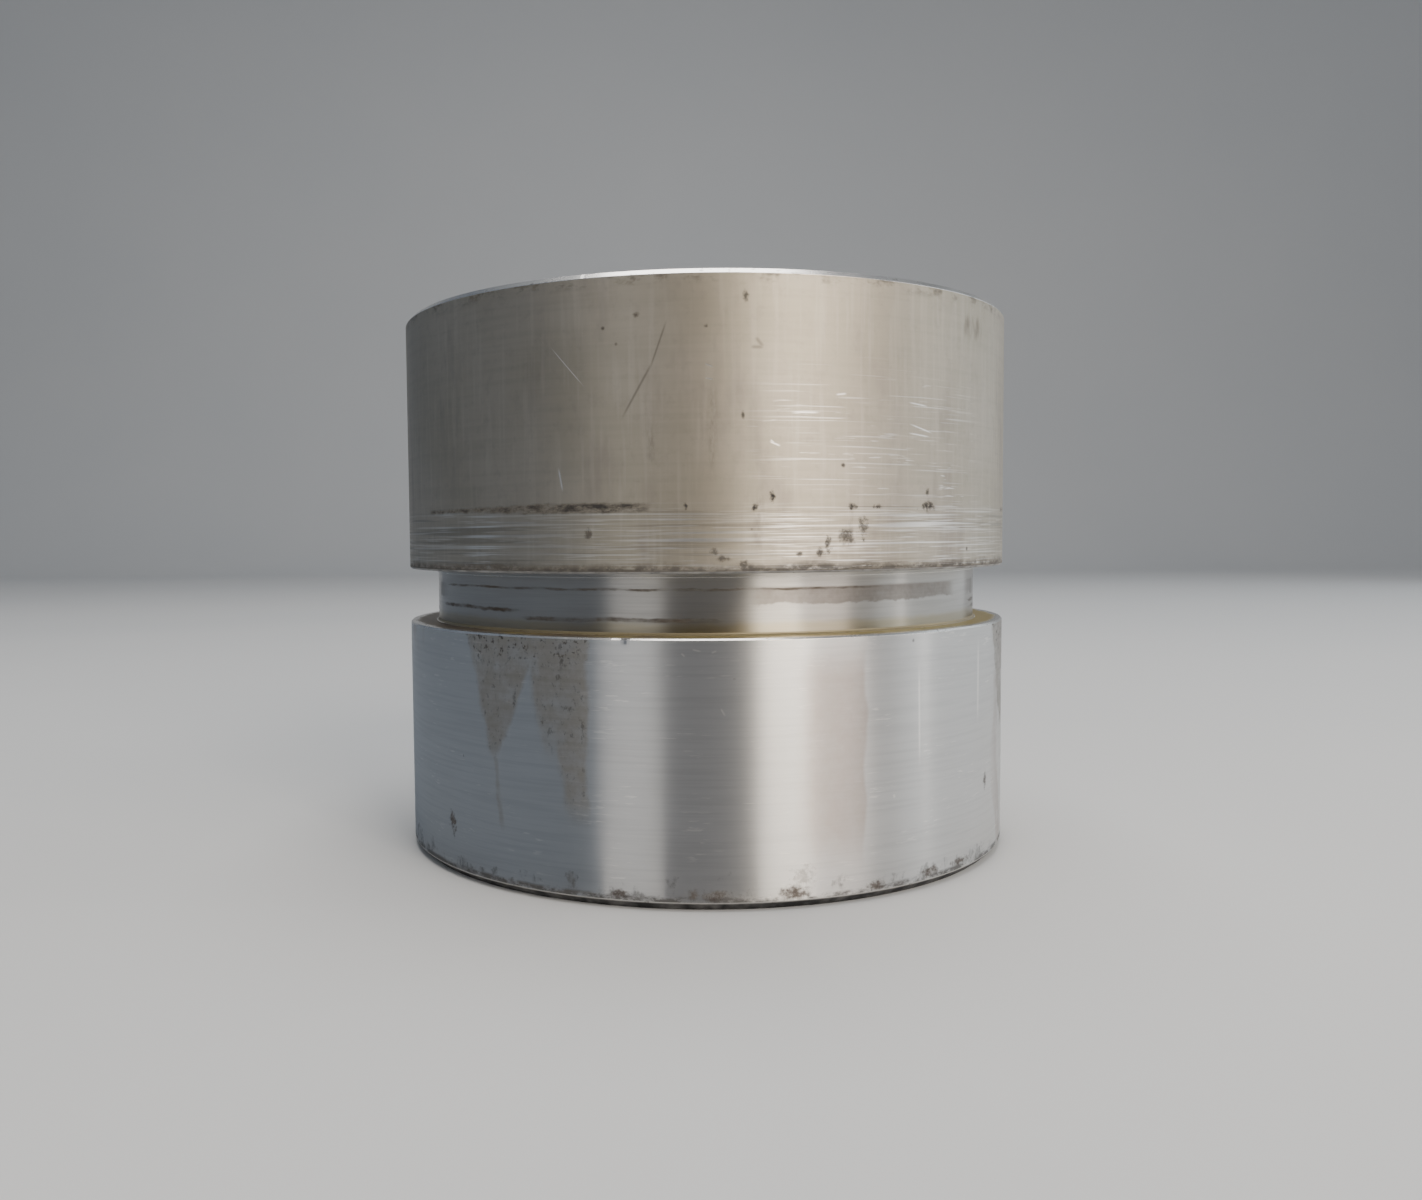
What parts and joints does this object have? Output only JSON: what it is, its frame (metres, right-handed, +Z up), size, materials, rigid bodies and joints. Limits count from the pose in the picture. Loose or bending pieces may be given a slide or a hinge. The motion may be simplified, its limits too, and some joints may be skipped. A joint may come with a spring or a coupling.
{
  "type": "rigid sleeve coupling",
  "caption": "Turned sleeve coupling with a gripping groove, a keyed through bore, an internal shaft stop ring and radial socket set screws bearing on brass pads.",
  "frame": {"origin": "centre of the lower end face", "axes": "+Z up along the shaft axis; the keyway opens towards +Y; the side screws enter from +X"},
  "size_m": [0.1, 0.1, 0.0853],
  "materials": {
    "turned_aluminium": "turned, matt on the upper land and polished on the neck and lower land",
    "spring_steel": "phosphated spring steel",
    "black_steel": "black oxide",
    "brass": "sawn and turned"
  },
  "bodies": {
    "sleeve": {"sleeve": "turned_aluminium", "shaft_stop_ring": "spring_steel"},
    "lower_key_pad": {"lower_key_pad": "brass"},
    "lower_key_screw": {"lower_key_screw": "black_steel"},
    "lower_side_pad": {"lower_side_pad": "brass"},
    "lower_side_screw": {"lower_side_screw": "black_steel"},
    "upper_key_pad": {"upper_key_pad": "brass"},
    "upper_key_screw": {"upper_key_screw": "black_steel"},
    "upper_side_pad": {"upper_side_pad": "brass"},
    "upper_side_screw": {"upper_side_screw": "black_steel"}
  },
  "joints": [
    {"name": "lower_key_pad_slide", "type": "slide", "parent": "sleeve", "child": "lower_key_pad", "axis": [0, -1, 0], "range_m": [-0.00175, 0.0035]},
    {"name": "lower_key_screw_turn", "type": "hinge", "parent": "lower_key_pad", "child": "lower_key_screw", "pos_m": [0, 0.0317, 0.0184], "axis": [0, -1, 0], "range_deg": [-360, 720]},
    {"name": "lower_side_pad_slide", "type": "slide", "parent": "sleeve", "child": "lower_side_pad", "axis": [-1, 0, 0], "range_m": [-0.00175, 0.0035]},
    {"name": "lower_side_screw_turn", "type": "hinge", "parent": "lower_side_pad", "child": "lower_side_screw", "pos_m": [0.0279, 0, 0.0184], "axis": [-1, 0, 0], "range_deg": [-360, 720]},
    {"name": "upper_key_pad_slide", "type": "slide", "parent": "sleeve", "child": "upper_key_pad", "axis": [0, -1, 0], "range_m": [-0.00175, 0.0035]},
    {"name": "upper_key_screw_turn", "type": "hinge", "parent": "upper_key_pad", "child": "upper_key_screw", "pos_m": [0, 0.0317, 0.06535], "axis": [0, -1, 0], "range_deg": [-360, 720]},
    {"name": "upper_side_pad_slide", "type": "slide", "parent": "sleeve", "child": "upper_side_pad", "axis": [-1, 0, 0], "range_m": [-0.00175, 0.0035]},
    {"name": "upper_side_screw_turn", "type": "hinge", "parent": "upper_side_pad", "child": "upper_side_screw", "pos_m": [0.0279, 0, 0.06535], "axis": [-1, 0, 0], "range_deg": [-360, 720]}
  ],
  "couplings": [
    {"joint": "lower_key_pad_slide", "follows": "lower_key_screw_turn", "m_per_rad": 0.00027852},
    {"joint": "lower_side_pad_slide", "follows": "lower_side_screw_turn", "m_per_rad": 0.00027852},
    {"joint": "upper_key_pad_slide", "follows": "upper_key_screw_turn", "m_per_rad": 0.00027852},
    {"joint": "upper_side_pad_slide", "follows": "upper_side_screw_turn", "m_per_rad": 0.00027852}
  ]
}
